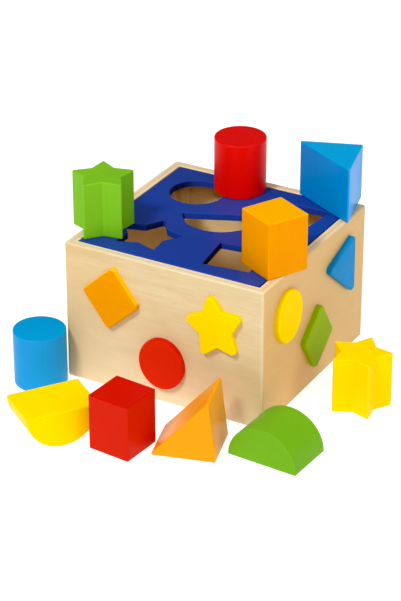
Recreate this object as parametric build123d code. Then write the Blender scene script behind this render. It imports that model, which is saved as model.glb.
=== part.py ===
"""Wooden shape sorter: an open box of four boards and a base, a lift-out lid panel with five shaped
holes, painted shapes glued to the walls, and ten loose blocks, two of each shape.

Millimetres. The origin is the centre of the box's underside, +Z is up and the front wall faces -Y.
"""
from build123d import *
import math
import os

# ---------------------------------------------------------------- driving dimensions
BOX_SIDE = 145.0            # outside width and depth of the box
BOX_HEIGHT = 97.0           # table to rim
WALL = 6.5                  # thickness of the wall boards
CORNER_RADIUS = 2.5         # rounding of the upright outer corners
RIM_ROUND = 1.0             # rounding of the outer rim edge
EDGE_ROUND = 0.5            # rounding of the other edges of the box and lid

BASE_THICKNESS = 5.0
LID_THICKNESS = 4.5
LID_GAP = 0.75              # between the lid panel and each wall, and between the base and each wall
POST_SIDE = 9.0             # square posts in the inside corners, which carry the lid

BLOCK_HEIGHT = 38.5         # standing blocks, along their own axis
LYING_LENGTH = 35.0         # the three lying blocks, along their own axis
BLOCK_ROUND = 0.8           # rounding of the two end faces of a block
BLOCK_CORNER = 1.0          # rounding of a block's long corners
CYLINDER_RADIUS = 17.5
SQUARE_SIDE = 30.0
HALF_ROUND_RADIUS = 24.5
STAR_TIP = 21.5             # centre to tip, before rounding
STAR_VALLEY = 12.5          # centre to inner corner
TRIANGLE_LEG = 42.5         # the two equal sides
TRIANGLE_BASE = 56.5
HOLE_CLEARANCE = 0.9        # all round, between a block and its hole
HOLE_CORNER = 1.2           # rounding of the corners of a hole

PLAQUE_THICKNESS = 4.0      # painted shapes on the walls
PLAQUE_ROUND = 1.2          # rounding of a painted shape's outer face
PLAQUE_CORNER = 3.0
PLAQUE_STRETCH = 1.1        # height over width: painted shapes are a little taller than wide
PLAQUE_DISC_RADIUS = 16.2   # half the width; the other sizes are before the stretch too
PLAQUE_SQUARE_SIDE = 29.5
PLAQUE_STAR_TIP = 23.0
PLAQUE_STAR_VALLEY = 12.3
PLAQUE_TRIANGLE_LEG = 40.0
PLAQUE_TRIANGLE_BASE = 49.0

# Holes in the lid: x, y and turn in degrees.
HOLES = {
    "disc": (-35.0, 35.0, 0.0),
    "star": (-31.5, -35.0, 20.0),
    "half_round": (-4.0, 12.5, 23.5),
    "square": (33.0, -37.0, 7.0),
    "triangle": (39.5, 35.5, -47.0),
}

# Painted shapes on a wall: node, shape, distance along the wall, height and turn in degrees,
# seen from outside. The back wall repeats the front wall's, and the left wall the right wall's.
FRONT_PLAQUES = (
    ("orange_square", "square", -36.5, 67.0, 40.0),
    ("red_disc", "disc", 0.5, 29.0, 0.0),
    ("yellow_star", "star", 39.5, 65.5, 29.0),
)
SIDE_PLAQUES = (
    ("yellow_disc", "disc", -42.0, 68.0, 0.0),
    ("green_square", "square", -1.0, 34.0, 36.0),
    ("blue_triangle", "triangle", 37.0, 68.0, -36.5),
)
WALLS = (
    ("front", 0.0, FRONT_PLAQUES),
    ("right", 90.0, SIDE_PLAQUES),
    ("back", 180.0, FRONT_PLAQUES),
    ("left", 270.0, SIDE_PLAQUES),
)

# Standing blocks: node, shape, x, y, turn in degrees and the height that the block stands on.
STANDING_BLOCKS = (
    ("green_star_block", "star", -61.0, -42.0, 48.0, BOX_HEIGHT),
    ("red_cylinder_block", "disc", -12.5, 54.0, 0.0, BOX_HEIGHT),
    ("orange_square_block", "square", 60.5, -36.0, -27.5, BOX_HEIGHT),
    ("blue_triangle_block", "triangle", 54.5, 63.0, -28.0, BOX_HEIGHT),
    ("blue_cylinder_block", "disc", -83.5, -87.5, 0.0, 0.0),
    ("red_square_block", "square", 5.0, -131.0, -5.5, 0.0),
    ("yellow_star_block", "star", 111.5, -13.0, 23.5, 0.0),
)

# Lying blocks: node, shape, how it lies, x, y and turn in degrees.
LYING_BLOCKS = (
    ("yellow_half_round_block", "half_round", "on its round side", -40.5, -139.5, 55.0),
    ("green_half_round_block", "half_round", "on its flat side", 92.8, -92.2, -3.7),
    ("orange_triangle_block", "triangle", "on a leg", 46.3, -109.1, 15.5),
)

# ---------------------------------------------------------------- worked-out sizes
HALF_BOX = BOX_SIDE / 2
INSIDE = BOX_SIDE - 2 * WALL
PANEL_SIDE = INSIDE - 2 * LID_GAP
LID_UNDERSIDE = BOX_HEIGHT - LID_THICKNESS
TRIANGLE_APEX = 2 * math.degrees(math.asin(TRIANGLE_BASE / 2 / TRIANGLE_LEG))

STAR_POINTS = 5


# ---------------------------------------------------------------- outlines
def star_corners(tip, valley):
    """Five-pointed star with its first tip on +X."""
    corners = []
    for i in range(2 * STAR_POINTS):
        reach = tip if i % 2 == 0 else valley
        angle = math.pi * i / STAR_POINTS
        corners.append((reach * math.cos(angle), reach * math.sin(angle)))
    return corners


def triangle_corners(leg, base):
    """Isosceles triangle about its centroid, with its apex on +Y."""
    height = math.sqrt(leg ** 2 - (base / 2) ** 2)
    return [(0, 2 * height / 3), (-base / 2, -height / 3), (base / 2, -height / 3)]


def square_corners(side):
    return [(side / 2, side / 2), (-side / 2, side / 2), (-side / 2, -side / 2), (side / 2, -side / 2)]


def polygon(corners):
    return make_face(Polyline(*corners, close=True))


def half_round_outline(radius):
    """Half disc with its flat side on the X axis and its round side towards -Y."""
    box = Pos(0, -radius) * Rectangle(2 * radius, 2 * radius)
    return Circle(radius) & box


def block_outline(shape):
    """Sharp-cornered section of a block."""
    if shape == "disc":
        return Circle(CYLINDER_RADIUS)
    if shape == "square":
        return polygon(square_corners(SQUARE_SIDE))
    if shape == "star":
        return polygon(star_corners(STAR_TIP, STAR_VALLEY))
    if shape == "triangle":
        return polygon(triangle_corners(TRIANGLE_LEG, TRIANGLE_BASE))
    return half_round_outline(HALF_ROUND_RADIUS)


def plaque_outline(shape, turn):
    """Sharp-cornered face of a painted shape, turned and then stretched upwards."""
    if shape == "disc":
        return Ellipse(PLAQUE_DISC_RADIUS, PLAQUE_DISC_RADIUS * PLAQUE_STRETCH)
    if shape == "square":
        corners = square_corners(PLAQUE_SQUARE_SIDE)
    elif shape == "star":
        corners = star_corners(PLAQUE_STAR_TIP, PLAQUE_STAR_VALLEY)
    else:
        corners = triangle_corners(PLAQUE_TRIANGLE_LEG, PLAQUE_TRIANGLE_BASE)
    cosine, sine = math.cos(math.radians(turn)), math.sin(math.radians(turn))
    turned = [(x * cosine - y * sine, x * sine + y * cosine) for x, y in corners]
    return polygon([(x, y * PLAQUE_STRETCH) for x, y in turned])


def rounded(outline, radius):
    """The outline with each corner rounded, inner corners too."""
    corners = outline.vertices()
    if len(corners) < 2:
        return outline
    return fillet(corners, radius)


# ---------------------------------------------------------------- box
def wall_ring():
    """The four walls as one ring, rounded at the upright corners and at the rim."""
    section = RectangleRounded(BOX_SIDE, BOX_SIDE, CORNER_RADIUS) - Rectangle(INSIDE, INSIDE)
    ring = extrude(section, BOX_HEIGHT)
    top = ring.faces().sort_by(Axis.Z)[-1]
    ring = fillet(top.outer_wire().edges(), RIM_ROUND)
    top = ring.faces().sort_by(Axis.Z)[-1]
    ring = fillet(top.inner_wires()[0].edges(), EDGE_ROUND)
    bottom = ring.faces().sort_by(Axis.Z)[0]
    return fillet(bottom.outer_wire().edges(), EDGE_ROUND)


def front_wedge():
    """The quarter of the box's plan that holds the front wall, cut at the mitres."""
    reach = BOX_SIDE
    corners = [(0, 0), (-reach, -reach), (reach, -reach)]
    return extrude(make_face(Polyline(*corners, close=True)), BOX_HEIGHT)


def wall_boards():
    """Four mitred boards, front, right, back and left."""
    ring = wall_ring()
    boards = {}
    for side, turn, _ in WALLS:
        boards[side + "_wall"] = ring & (Rot(0, 0, turn) * front_wedge())
    return boards


def base_panel():
    """Bottom panel, flush with the undersides of the walls."""
    return extrude(Rectangle(INSIDE, INSIDE), BASE_THICKNESS)


def corner_posts():
    """Square posts glued into the inside corners, from the base to the lid's underside."""
    reach = (INSIDE - POST_SIDE) / 2
    length = LID_UNDERSIDE - BASE_THICKNESS
    post = extrude(Rectangle(POST_SIDE, POST_SIDE), length)
    posts = {}
    for depth, y in (("front", -reach), ("back", reach)):
        for side, x in (("left", -reach), ("right", reach)):
            posts[f"{depth}_{side}_post"] = Pos(x, y, BASE_THICKNESS) * post
    return posts


def plaque(shape, turn):
    """Painted shape lying on the XY plane, with its outer face up."""
    solid = extrude(rounded(plaque_outline(shape, turn), PLAQUE_CORNER), PLAQUE_THICKNESS)
    outer_edges = solid.faces().sort_by(Axis.Z)[-1].outer_wire().edges()
    return fillet(outer_edges, PLAQUE_ROUND)


def wall_plaques():
    """Three painted shapes on the outside of each wall."""
    plaques = {}
    for side, turn, rows in WALLS:
        for name, shape, along, height, angle in rows:
            on_front = Pos(along, -HALF_BOX, height) * Rot(90, 0, 0)
            plaques[f"{name}_{side}"] = Rot(0, 0, turn) * on_front * plaque(shape, angle)
    return plaques


# ---------------------------------------------------------------- lid
def lid_panel():
    """Panel that drops between the walls onto the posts, flush with the rim."""
    panel = extrude(Rectangle(PANEL_SIDE, PANEL_SIDE), LID_THICKNESS)
    for shape, (x, y, turn) in HOLES.items():
        outline = block_outline(shape)
        hole = offset(outline, HOLE_CLEARANCE, kind=Kind.INTERSECTION)
        hole = rounded(hole, HOLE_CORNER)
        panel -= Pos(x, y) * Rot(0, 0, turn) * extrude(hole, LID_THICKNESS)
    top = panel.faces().sort_by(Axis.Z)[-1]
    panel = fillet(top.edges(), EDGE_ROUND)
    return Pos(0, 0, LID_UNDERSIDE) * panel


# ---------------------------------------------------------------- blocks
def block(shape, length=BLOCK_HEIGHT):
    """Loose block standing on the XY plane."""
    solid = extrude(rounded(block_outline(shape), BLOCK_CORNER), length)
    ends = solid.faces().sort_by(Axis.Z)
    end_edges = ends[0].edges() + ends[-1].edges()
    return fillet(end_edges, BLOCK_ROUND)


def standing_blocks():
    """Blocks that stand on an end face, on the lid or on the table."""
    blocks = {}
    for name, shape, x, y, turn, height in STANDING_BLOCKS:
        blocks[name] = Pos(x, y, height) * Rot(0, 0, turn) * block(shape)
    return blocks


def lying_blocks():
    """Blocks that lie on a side, with their ends facing the front."""
    # Turn about the block's own axis, from a flat side facing up.
    roll = {"on its round side": 0, "on its flat side": 180, "on a leg": -(90 + TRIANGLE_APEX / 2)}
    blocks = {}
    for name, shape, rest, x, y, turn in LYING_BLOCKS:
        centred = Pos(0, 0, -LYING_LENGTH / 2) * block(shape, LYING_LENGTH)
        lying = Rot(90, 0, 0) * Rot(0, 0, roll[rest]) * centred
        lift = -lying.bounding_box().min.Z
        blocks[name] = Pos(x, y, lift) * Rot(0, 0, turn) * lying
    return blocks


# ---------------------------------------------------------------- output
def main():
    nodes = {}
    nodes.update(wall_boards())
    nodes["base_panel"] = base_panel()
    nodes.update(corner_posts())
    nodes.update(wall_plaques())
    nodes["lid_panel"] = lid_panel()
    nodes.update(standing_blocks())
    nodes.update(lying_blocks())
    os.makedirs("parts", exist_ok=True)
    for name, solid in nodes.items():
        export_step(solid, f"parts/{name}.step")


main()
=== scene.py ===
"""Wooden shape sorter: paint, wood, floor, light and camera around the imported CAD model.

Every coordinate is in metres in the CAD frame: +Z up, the box's front board facing -Y, the floor
at z = 0.
"""
import math

import bpy
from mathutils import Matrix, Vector

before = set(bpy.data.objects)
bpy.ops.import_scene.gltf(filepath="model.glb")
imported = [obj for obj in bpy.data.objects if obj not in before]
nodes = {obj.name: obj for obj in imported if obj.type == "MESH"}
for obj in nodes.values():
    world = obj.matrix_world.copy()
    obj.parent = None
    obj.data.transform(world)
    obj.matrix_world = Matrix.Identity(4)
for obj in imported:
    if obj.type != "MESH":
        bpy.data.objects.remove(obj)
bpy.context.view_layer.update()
scene = bpy.context.scene


# ---------------------------------------------------------------- node helpers

def rgb(red, green, blue):
    """An sRGB colour, 0 to 255, as the linear colour that a shader socket takes."""
    linear = []
    for value in (red / 255, green / 255, blue / 255):
        linear.append(value / 12.92 if value <= 0.04045 else ((value + 0.055) / 1.055) ** 2.4)
    return (*linear, 1.0)


class Graph:
    """A node tree. Each method adds nodes and returns the output socket."""

    def __init__(self, tree):
        self.tree = tree

    def add(self, kind, **settings):
        """Adds one node and returns the node itself."""
        node = self.tree.nodes.new(kind)
        for key, value in settings.items():
            setattr(node, key, value)
        return node

    def feed(self, socket, value):
        """Links a socket into an input, or sets the input to a plain value."""
        if isinstance(value, bpy.types.NodeSocket):
            self.tree.links.new(value, socket)
        else:
            socket.default_value = value

    def math(self, operation, a, b=0.0, clamp=False):
        node = self.add("ShaderNodeMath", operation=operation, use_clamp=clamp)
        self.feed(node.inputs[0], a)
        self.feed(node.inputs[1], b)
        return node.outputs[0]

    def dot(self, a, b):
        node = self.add("ShaderNodeVectorMath", operation="DOT_PRODUCT")
        self.feed(node.inputs[0], a)
        self.feed(node.inputs[1], b)
        return node.outputs["Value"]

    def remap(self, value, span, to=(0.0, 1.0)):
        """A smooth step from to[0] where the value is span[0] to to[1] where it is span[1]."""
        node = self.add("ShaderNodeMapRange", interpolation_type="SMOOTHSTEP")
        for socket, number in zip(node.inputs[:5], (value, *span, *to)):
            self.feed(socket, number)
        return node.outputs[0]


class Shader(Graph):
    """A material's node tree around its Principled BSDF."""

    def __init__(self, name, tint):
        self.material = bpy.data.materials.new(name)
        self.material.use_nodes = True
        self.material.diffuse_color = tint
        super().__init__(self.material.node_tree)
        self.surface = self.tree.nodes["Principled BSDF"]
        self.place = self.add("ShaderNodeTexCoord").outputs["Object"]

    def mix(self, factor, a, b):
        """Colour a with colour b mixed in by the factor."""
        node = self.add("ShaderNodeMix", data_type="RGBA")
        for index, value in ((0, factor), (6, a), (7, b)):    # 6 and 7 are the colour inputs
            self.feed(node.inputs[index], value)
        return node.outputs[2]

    def blend(self, colour, other, value, span, amounts=(0.0, 1.0)):
        """The colour, with amounts[0] of the other at span[0] and amounts[1] of it at span[1]."""
        return self.mix(self.remap(value, span, amounts), colour, other)

    def parts(self, vector):
        """A vector's x, y and z."""
        node = self.add("ShaderNodeSeparateXYZ")
        self.feed(node.inputs[0], vector)
        return node.outputs

    def normal(self):
        return self.add("ShaderNodeNewGeometry").outputs["Normal"]

    def axes(self, along, across, through, shift=0.0):
        """Coordinates along three unit vectors, the first of which is the way the grain runs."""
        joined = self.add("ShaderNodeCombineXYZ")
        for socket, axis in zip(joined.inputs, (along, across, through)):
            self.feed(socket, self.math("ADD", self.dot(self.place, axis), shift))
        return joined.outputs[0]

    def noise(self, vector, scale, detail=2.0, roughness=0.5, distortion=0.0):
        node = self.add("ShaderNodeTexNoise")
        inputs = {"Vector": vector, "Scale": scale, "Detail": detail, "Roughness": roughness,
                  "Distortion": distortion}
        for name, value in inputs.items():
            self.feed(node.inputs[name], value)
        return node.outputs["Fac"]

    def grain(self, axes, cells, **settings):
        """Noise with its own number of cells per metre along each axis."""
        stretched = self.add("ShaderNodeVectorMath", operation="MULTIPLY")
        self.feed(stretched.inputs[0], axes)
        self.feed(stretched.inputs[1], cells)
        return self.noise(stretched.outputs[0], scale=1.0, **settings)

    def edges(self, radius):
        """1 along the part's edges, 0 on its faces: how far a bevel would turn the normal."""
        bevel = self.add("ShaderNodeBevel", samples=6)
        self.feed(bevel.inputs["Radius"], radius)
        turn = self.math("SUBTRACT", 1.0, self.dot(bevel.outputs[0], self.normal()))
        return self.math("MULTIPLY", turn, EDGE_GAIN, clamp=True)

    def bump(self, height, distance, strength):
        node = self.add("ShaderNodeBump")
        for name, value in {"Height": height, "Distance": distance, "Strength": strength}.items():
            self.feed(node.inputs[name], value)
        return node.outputs[0]

    def finish(self, colour, roughness, normal, ior):
        """Feeds the Principled BSDF and returns the material."""
        inputs = {"Base Color": colour, "Roughness": roughness, "Normal": normal, "IOR": ior}
        for name, value in inputs.items():
            self.feed(self.surface.inputs[name], value)
        return self.material


# ---------------------------------------------------------------- materials

X, Y, Z = (1, 0, 0), (0, 1, 0), (0, 0, 1)

HALF = 0.0725               # from the middle of the box to a board's outer face
INNER = HALF - 0.0065       # and to its inner face
CORE = (0.0026, 0.0041)     # depth of the middle ply under a board's outer face

BIRCH_PALE = rgb(221, 204, 161)
BIRCH_WARM = rgb(208, 184, 135)
BIRCH_DARK = rgb(190, 150, 100)
BIRCH_TAN = rgb(214, 168, 96)
# pale sapwood on the lid's bare underside, and the painted light low on the front and back boards
BIRCH_SAP_AND_PAINTED_LIGHT = rgb(246, 226, 188)
BIRCH_BARE = rgb(255, 226, 170)      # not lacquered
BIRCH_PAINTED_HIGHLIGHT = rgb(250, 234, 200)    # painted highlight on edges and on faces that point up
PLY_CORE = rgb(176, 118, 66)
PORE = rgb(170, 122, 78)
CUT_PAINTED_LIGHT = rgb(34, 62, 160)          # painted light: the sides of the lid's cut-outs that face -Y, tinted as bright as the upper faces
CUT_PAINTED_SHADE = rgb(12, 10, 44)          # and painted shade on those that face +X

# Spans for remap: the middle of a noise's values, and parts of a face's normal along an axis.
NOISE = (0.3, 0.7)
TURNED = (0.5, 0.95)
TURNED_AWAY = (-0.95, -0.5)
UPWARD = (0.3, 0.65)
DOWNWARD = (-0.8, -0.5)

EDGE_GAIN = 2.4             # how soon an edge counts as one

# The veneer's layers of noise, with their cells per metre along, across and through the grain.
GRAIN = {
    "cloud": dict(cells=(7, 24, 24), detail=3.0, roughness=0.55, distortion=0.8),
    "mottle": dict(cells=(60, 160, 160), detail=2.0, roughness=0.5),
    "figure": dict(cells=(6, 170, 170), detail=4.0, roughness=0.6, distortion=0.4),
    "fibre": dict(cells=(45, 1300, 1300), detail=2.0, roughness=0.6),
    "dashes": dict(cells=(120, 2300, 2300), detail=1.0, roughness=0.5),
}
# What darkens the veneer: a layer, the span of its noise, how much it darkens at most, the colour.
STAINS = (
    ("mottle", (0.4, 0.75), 0.2, BIRCH_DARK),
    ("figure", (0.42, 0.78), 0.24, BIRCH_DARK),
    ("fibre", (0.35, 0.8), 0.2, BIRCH_DARK),
    ("dashes", (0.64, 0.78), 0.2, PORE),
)

PAINTED_LIGHT_SLOPE = 0.3            # the upper end of the painted light falls towards +X by this much
PAINTED_LIGHT_SPAN = (-0.03, 0.088)  # the heights between which it fades out, over the middle of the box
WARM_END = (-HALF, -0.4 * HALF)         # where the warm end fades out, along X
WARM_AMOUNT = 0.55          # of the amount of painted light low on the board
FIGURE_SPAN = (0.3, 0.8)    # the figure on bare wood
WALL_FIGURE = 0.25          # its amount inside a wall
BASE_FIGURE = 0.7           # and on a board with no core
PLY_AMOUNT = 0.22
PLY_BLUR = 0.25             # of half the ply's thickness
INSIDE_FADE = 0.001         # metres over which the lacquer ends at a wall's inner face
# how much painted highlight faces that point up and the edges take
PAINTED_HIGHLIGHT_UPWARD = 0.5
PAINTED_HIGHLIGHT_EDGE = 0.5
FIBRE_RISE, PORE_RISE = 0.6, -0.4       # shares of the relief
WOOD_ROUGHNESS = (0.42, 0.58)


def birch(name, along, across, through, shift, core=None, tan=0.0, foot_painted_light=0.0):
    """Birch ply in clear lacquer.

    A board with a core, (low, high), has a darker ply between those two places along through, and
    bare wood on its inside. One with no core is bare all over. tan turns the wood more yellow.
    foot is painted light: it makes the lower part of a board paler. It also makes the board's -X
    end warmer.
    """
    s = Shader(name, BIRCH_WARM)
    axes = s.axes(along, across, through, shift)
    layers = {layer: s.grain(axes, **settings) for layer, settings in GRAIN.items()}
    colour = s.blend(BIRCH_PALE, BIRCH_WARM, layers["cloud"], NOISE)
    for layer, span, amount, stain in STAINS:
        colour = s.blend(colour, stain, layers[layer], span, (0.0, amount))
    if tan:
        colour = s.mix(tan, colour, BIRCH_TAN)
    # painted light: the lower part of the board is made paler, more so towards -X; the -X end
    # warmer
    if foot_painted_light:
        x, _, z = s.parts(s.place)
        height = s.math("ADD", z, s.math("MULTIPLY", x, PAINTED_LIGHT_SLOPE))
        colour = s.blend(colour, BIRCH_SAP_AND_PAINTED_LIGHT, height, PAINTED_LIGHT_SPAN, (foot_painted_light, 0.0))
        colour = s.blend(colour, BIRCH_TAN, x, WARM_END, (WARM_AMOUNT * foot_painted_light, 0.0))
    figure = (0.0, WALL_FIGURE if core else BASE_FIGURE)
    bare = s.blend(BIRCH_BARE, BIRCH_TAN, layers["figure"], FIGURE_SPAN, figure)
    if core:
        depth = s.dot(s.place, through)
        middle, half = (core[0] + core[1]) / 2, (core[1] - core[0]) / 2
        away = s.math("ABSOLUTE", s.math("SUBTRACT", depth, middle))
        fade = (half * (1 - PLY_BLUR), half * (1 + PLY_BLUR))
        up = s.parts(s.normal())[2]
        # painted highlight: faces that point up, the boards' upper ends, are made paler
        colour = s.blend(colour, BIRCH_PAINTED_HIGHLIGHT, up, TURNED, (0.0, PAINTED_HIGHLIGHT_UPWARD))
        colour = s.blend(colour, PLY_CORE, away, fade, (PLY_AMOUNT, 0.0))
        from_middle = s.math("ABSOLUTE", depth)
        colour = s.blend(colour, bare, from_middle, (INNER, INNER + INSIDE_FADE), (1.0, 0.0))
    else:
        colour = bare
    # painted highlight along the edges
    edge = s.edges(radius=0.0012)
    colour = s.mix(s.math("MULTIPLY", edge, PAINTED_HIGHLIGHT_EDGE), colour, BIRCH_PAINTED_HIGHLIGHT)
    raised = s.math("MULTIPLY", layers["fibre"], FIBRE_RISE)
    relief = s.math("ADD", raised, s.math("MULTIPLY", layers["dashes"], PORE_RISE))
    rough = s.remap(layers["fibre"], span=(0.2, 0.8), to=WOOD_ROUGHNESS)
    return s.finish(colour, rough, s.bump(relief, distance=0.00012, strength=0.5), ior=1.42)


STREAK_CELLS = (18, 620, 620)    # per metre along, across and through the grain
STREAK_AMOUNT = 0.3              # of the deeper colour
CLOUD_AMOUNT = 0.3
# how much painted light and shade the upward faces take
PAINTED_TOP_SHADING_AMOUNT = 0.8
WEAR_AND_HIGHLIGHT = (0.125, 0.25)             # of the thin paint along an edge, with its wear and painted highlight, least and most
# how much painted shade the cut-outs' sides that face +X take
CUT_PAINTED_SHADE_AMOUNT = 0.75
STREAK_RISE, PEEL_RISE = 0.7, 0.3       # shares of the relief
# What is added to the paint's roughness: at least and at most all over, along edges, and on the
# sides of cut-outs.
SMOOTHER, ROUGHER = -0.03, 0.05
EDGE_ROUGHER = 0.08
SAWN_ROUGHER = 0.3


def thin_paint_and_highlight(colour):
    """The paint's lighter colour along the edges, where it lies thin and wears, and as a painted
    highlight.
    """
    return (*(min(1.0, value * 1.25 + 0.02) for value in colour[:3]), 1.0)


def paint(name, colour, deep, along, roughness=0.31, ior=1.16, under=False, painted_top_shading=None):
    """Lacquer paint on a turned or sawn piece, with the wood's grain as faint streaks of deep.

    The surface stays rougher than 0.275 all over, because the denoiser treats what is smoother in
    another way and leaves contours where a surface crosses that line. The colour given for faces
    that point up is painted light and shade laid on them. under leaves the faces that point down
    bare, and paints the cut-outs' sides lighter where they face -Y and darker where they face +X,
    as painted light and shade.
    """
    s = Shader(name, colour)
    across = Y if along != Y else X
    through = tuple(Vector(along).cross(Vector(across)))
    axes = s.axes(along, across, through)
    cloud = s.noise(s.place, scale=30.0)
    streaks = s.grain(axes, STREAK_CELLS, detail=3.0, roughness=0.6)
    peel = s.noise(s.place, scale=900.0)
    shade = s.blend(colour, deep, cloud, (0.3, 0.75), (0.0, CLOUD_AMOUNT))
    shade = s.blend(shade, deep, streaks, (0.45, 0.8), (0.0, STREAK_AMOUNT))
    right, back, up = s.parts(s.normal())
    # painted light and shade: faces that point up take their own colour, lighter or darker
    if painted_top_shading:
        shade = s.blend(shade, painted_top_shading, up, UPWARD, (0.0, PAINTED_TOP_SHADING_AMOUNT))
    edge = s.edges(radius=0.0009)
    worn_and_highlight = s.remap(s.noise(s.place, scale=420.0, detail=3.0), span=(0.35, 0.65), to=WEAR_AND_HIGHLIGHT)
    # lighter along the edges: thin paint and wear, and a painted highlight
    shade = s.mix(s.math("MULTIPLY", edge, worn_and_highlight), shade, thin_paint_and_highlight(colour))
    rough = s.remap(cloud, NOISE, to=(roughness + SMOOTHER, roughness + ROUGHER))
    rough = s.math("ADD", rough, s.math("MULTIPLY", edge, EDGE_ROUGHER))
    if under:
        bare = s.mix(streaks, BIRCH_SAP_AND_PAINTED_LIGHT, BIRCH_PALE)
        shade = s.blend(shade, bare, up, DOWNWARD, (1.0, 0.0))
        # painted light: the sides that face -Y are tinted lighter
        shade = s.blend(shade, CUT_PAINTED_LIGHT, back, TURNED_AWAY, (1.0, 0.0))
        # painted shade: the sides that face +X are darkened
        shade = s.blend(shade, CUT_PAINTED_SHADE, right, TURNED, (0.0, CUT_PAINTED_SHADE_AMOUNT))
        sawn = s.remap(s.math("ABSOLUTE", up), TURNED, to=(SAWN_ROUGHER, 0.0))
        rough = s.math("ADD", rough, sawn)
    grained = s.math("MULTIPLY", streaks, STREAK_RISE)
    relief = s.math("ADD", grained, s.math("MULTIPLY", peel, PEEL_RISE))
    return s.finish(shade, rough, s.bump(relief, distance=0.00006, strength=0.3), ior)


def core_between(sign):
    """The middle ply's place along an axis on which the board's outer face is at sign * HALF."""
    return tuple(sorted(sign * (HALF - depth) for depth in CORE))


def give(node, material):
    mesh = nodes[node].data
    mesh.materials.clear()
    mesh.materials.append(material)


# The number after the three axes shifts the grain, so that no two boards are alike.
# The front and back boards get painted light on their lower part.
give("front_wall", birch("birch_front", X, Z, Y, 0.13, core_between(-1), foot_painted_light=0.6))
give("back_wall", birch("birch_back", X, Z, Y, 0.57, core_between(1), foot_painted_light=0.3))
give("right_wall", birch("birch_right", Y, Z, X, 0.91, core_between(1), tan=0.8))
give("left_wall", birch("birch_left", Y, Z, X, 1.37, core_between(-1), tan=0.2))
give("base_panel", birch("birch_base", X, Y, Z, 1.71))
post_wood = birch("birch_post", Z, X, Y, 2.3)
for corner in ("front_left", "front_right", "back_left", "back_right"):
    give(f"{corner}_post", post_wood)

give("lid_panel", paint("royal_blue", rgb(26, 61, 150), rgb(42, 54, 132), X,
                        roughness=0.32, ior=1.26, under=True))

# Each block's material, colour, deeper colour, way of the grain, IOR and colour on upward faces,
# which is painted light and shade.
BLOCKS = {
    "green_star_block":
        ("green_standing", rgb(122, 186, 34), rgb(104, 168, 30), Z, 1.16, None),
    "red_cylinder_block":
        ("red_turned", rgb(236, 22, 15), rgb(228, 18, 12), Z, 1.18, rgb(206, 14, 10)),
    "orange_square_block":
        ("orange_standing", rgb(231, 147, 0), rgb(222, 132, 0), Z, 1.12, rgb(250, 176, 0)),
    "blue_triangle_block":
        ("blue_standing", rgb(0, 145, 220), rgb(0, 123, 208), Z, 1.25, rgb(0, 160, 214)),
    "blue_cylinder_block":
        ("light_blue_turned", rgb(32, 152, 216), rgb(22, 136, 208), Z, 1.16, rgb(0, 148, 206)),
    "yellow_half_round_block":
        ("yellow_upright", rgb(255, 216, 0), rgb(252, 206, 0), X, 1.12, None),
    "red_square_block":
        ("red_standing", rgb(202, 32, 8), rgb(194, 27, 6), Z, 1.14, rgb(196, 4, 8)),
    "orange_triangle_block":
        ("orange_lying", rgb(240, 156, 0), rgb(234, 144, 0), Y, 1.23, None),
    "green_half_round_block":
        ("green_lying", rgb(112, 171, 29), rgb(100, 157, 26), Y, 1.16, None),
    "yellow_star_block":
        ("yellow_standing", rgb(255, 210, 0), rgb(253, 200, 0), Z, 1.12, None),
}
for node, (name, colour, deep, along, ior, painted_top_shading) in BLOCKS.items():
    give(node, paint(name, colour, deep, along, ior=ior, painted_top_shading=painted_top_shading))

# The same for the plaques on the walls, whose names start with their colour.
PLAQUE_ROUGHNESS = 0.34
PLAQUES = {
    "orange": (rgb(227, 148, 0), rgb(218, 132, 0), X, 1.1, rgb(255, 196, 30)),
    "red": (rgb(216, 42, 16), rgb(202, 32, 12), X, 1.1, rgb(200, 26, 8)),
    "yellow": (rgb(248, 210, 0), rgb(242, 197, 0), X, 1.05, None),
    "green": (rgb(146, 178, 20), rgb(128, 162, 18), Y, 1.07, None),
    "blue": (rgb(20, 136, 196), rgb(14, 118, 184), Y, 1.1, None),
}
plaque_paints = {}
for tone, (colour, deep, along, ior, painted_top_shading) in PLAQUES.items():
    plaque_paints[tone] = paint(f"{tone}_plaque", colour, deep, along, PLAQUE_ROUGHNESS, ior,
                                painted_top_shading=painted_top_shading)
for node in nodes:
    if node.endswith(("_front", "_back", "_left", "_right")):
        give(node, plaque_paints[node.split("_")[0]])


# ---------------------------------------------------------------- floor, light and camera

FLOOR_REACH = 6.0           # half its side
FLOOR_GLOW = 0.82           # strength of the floor's own light, which keeps its shadows faint
SKY_BASE = 0.05             # strength of the sky where nothing glows
LIGHT_AIM = Vector((0.0, -0.02, 0.05))
LIGHT_DISTANCE = 3.0
EYE = Vector((0.638807, -1.161805, 0.744859))
EYE_AIM = Vector((-0.0090, -0.0066, 0.0409))
LENS = 135.74               # millimetres, as is the sensor's longer side
SENSOR = 36
BLACK_LEVEL = 0.005         # of the picture, which deepens its darkest tones a little


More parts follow.
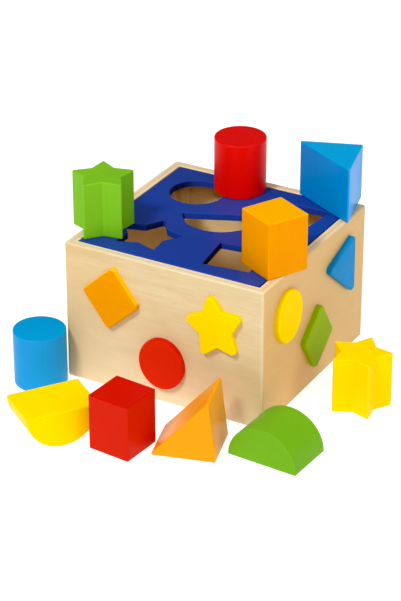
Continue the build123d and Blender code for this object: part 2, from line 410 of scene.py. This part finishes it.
def floor():
    """A plain pale floor that gives off some light of its own."""
    mesh = bpy.data.meshes.new("floor")
    r = FLOOR_REACH
    mesh.from_pydata([(-r, -r, 0), (r, -r, 0), (r, r, 0), (-r, r, 0)], [], [(0, 1, 2, 3)])
    piece = bpy.data.objects.new("floor", mesh)
    scene.collection.objects.link(piece)
    s = Shader("pale_floor", rgb(250, 250, 250))
    tone = s.noise(s.place, scale=3.0)
    colour = s.blend(rgb(170, 170, 170), rgb(166, 166, 165), tone, NOISE)
    grit = s.bump(s.noise(s.place, scale=400.0), distance=0.0001, strength=0.2)
    s.surface.inputs["Emission Color"].default_value = (1, 1, 1, 1)
    s.surface.inputs["Emission Strength"].default_value = FLOOR_GLOW
    mesh.materials.append(s.finish(colour, roughness=0.8, normal=grit, ior=1.3))


def sky(horizon, zenith, front):
    """Soft white light from all round, stronger from above and from the front."""
    world = bpy.data.worlds.new("studio")
    scene.world = world
    world.use_nodes = True
    g = Graph(world.node_tree)
    way = g.add("ShaderNodeTexCoord").outputs["Generated"]
    glows = (
        ((0, 0, -1), (-0.22, -0.06), horizon),
        ((0, 0, 1), (0.64, 0.90), zenith),
        ((0.36, -0.74, 0.56), (0.1, 0.97), front),
    )
    total = SKY_BASE
    for direction, span, strength in glows:
        towards = g.dot(way, Vector(direction).normalized())
        total = g.math("ADD", g.remap(towards, span, to=(0.0, strength)), total)
    background = g.tree.nodes["Background"]
    g.feed(background.inputs["Color"], (1, 1, 1, 1))
    g.feed(background.inputs["Strength"], total)


def softbox(name, azimuth, elevation, size, power):
    """A square area light that faces the object. Azimuth is measured from -Y towards +X."""
    a, e = math.radians(azimuth), math.radians(elevation)
    way = Vector((math.sin(a) * math.cos(e), -math.cos(a) * math.cos(e), math.sin(e)))
    light = bpy.data.lights.new(name, "AREA")
    light.size = size
    light.energy = power
    lamp = bpy.data.objects.new(name, light)
    lamp.location = LIGHT_AIM + way * LIGHT_DISTANCE
    lamp.rotation_euler = way.to_track_quat("Z", "Y").to_euler()
    scene.collection.objects.link(lamp)


floor()
sky(horizon=0.95, zenith=0.85, front=0.04)
softbox("key", azimuth=-11, elevation=50, size=0.6, power=54)
softbox("front", azimuth=34, elevation=38, size=0.7, power=10)
softbox("side", azimuth=88, elevation=26, size=1.6, power=26)

camera = bpy.data.cameras.new("camera")
camera.lens = LENS
camera.sensor_width = SENSOR
camera.clip_end = 30
eye = bpy.data.objects.new("camera", camera)
eye.location = EYE
eye.rotation_euler = (EYE_AIM - EYE).to_track_quat("-Z", "Y").to_euler()
scene.collection.objects.link(eye)
scene.camera = eye

view = scene.view_settings
view.view_transform = "Standard"
view.look = "None"
view.use_curve_mapping = True
view.curve_mapping.black_level = (BLACK_LEVEL,) * 3
view.curve_mapping.update()
